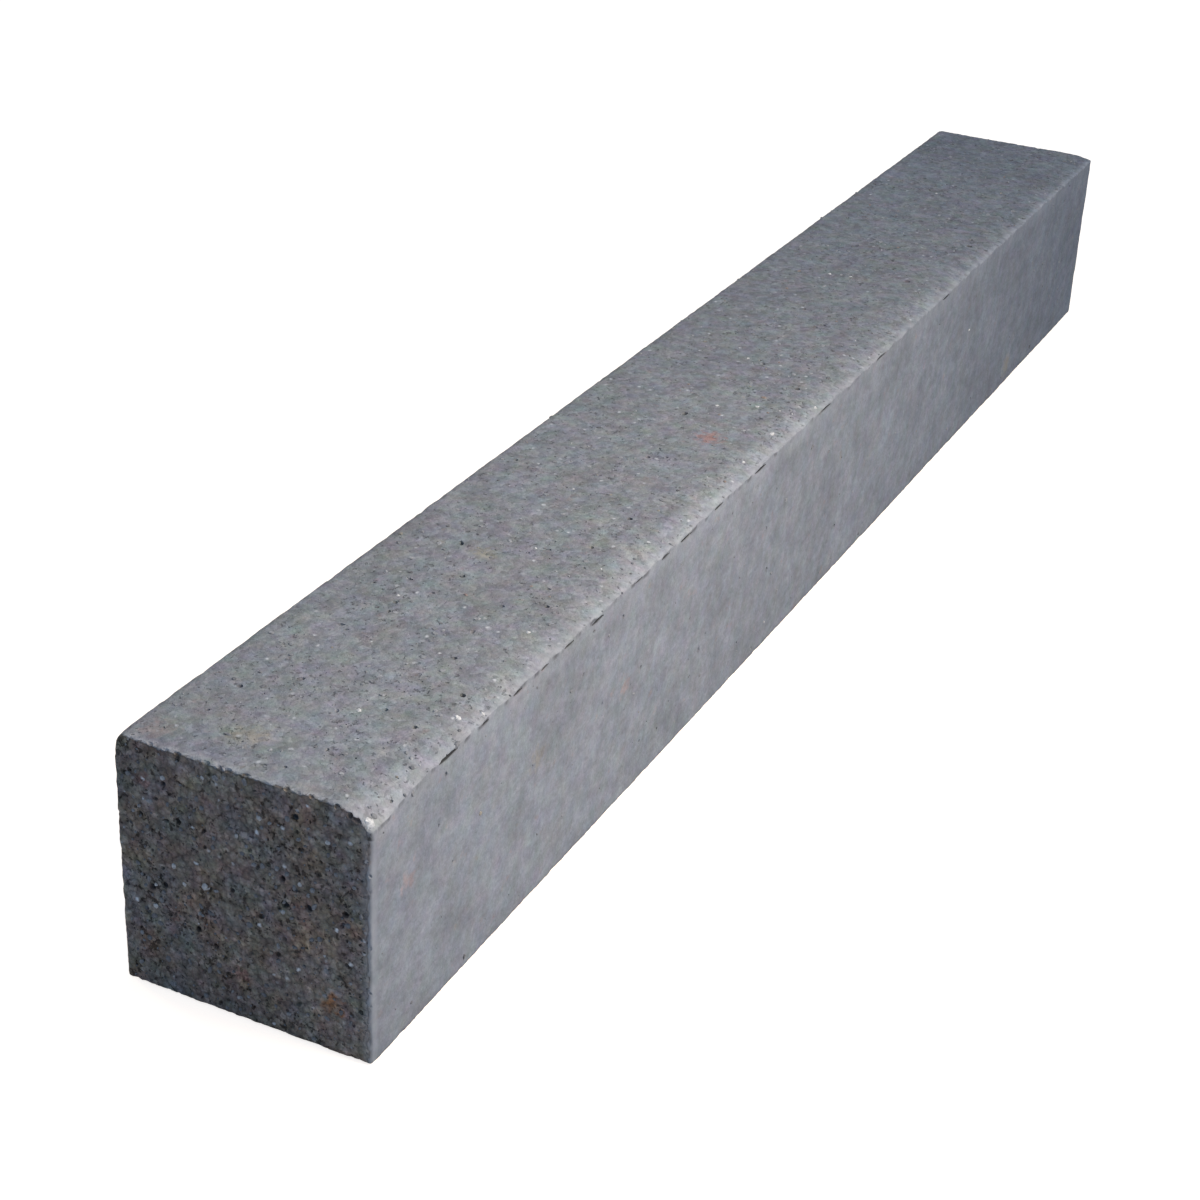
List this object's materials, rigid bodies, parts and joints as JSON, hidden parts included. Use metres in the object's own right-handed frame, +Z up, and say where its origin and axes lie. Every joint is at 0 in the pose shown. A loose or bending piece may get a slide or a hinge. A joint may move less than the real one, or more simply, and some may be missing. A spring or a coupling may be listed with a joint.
{
  "type": "concrete kerb stone",
  "caption": "Straight concrete kerb stone of square section with one rounded top arris, laid end to end to edge a road, path or parking bay.",
  "frame": {"origin": "middle of the bed face, at the stone's underside", "axes": "+X along the stone's length, -Y out of the road face below the rounded arris, +Z up out of the top face"},
  "size_m": [1, 0.12, 0.12],
  "materials": {
    "concrete": "matte"
  },
  "bodies": {
    "root": {"kerb_stone": "concrete"}
  },
  "joints": []
}
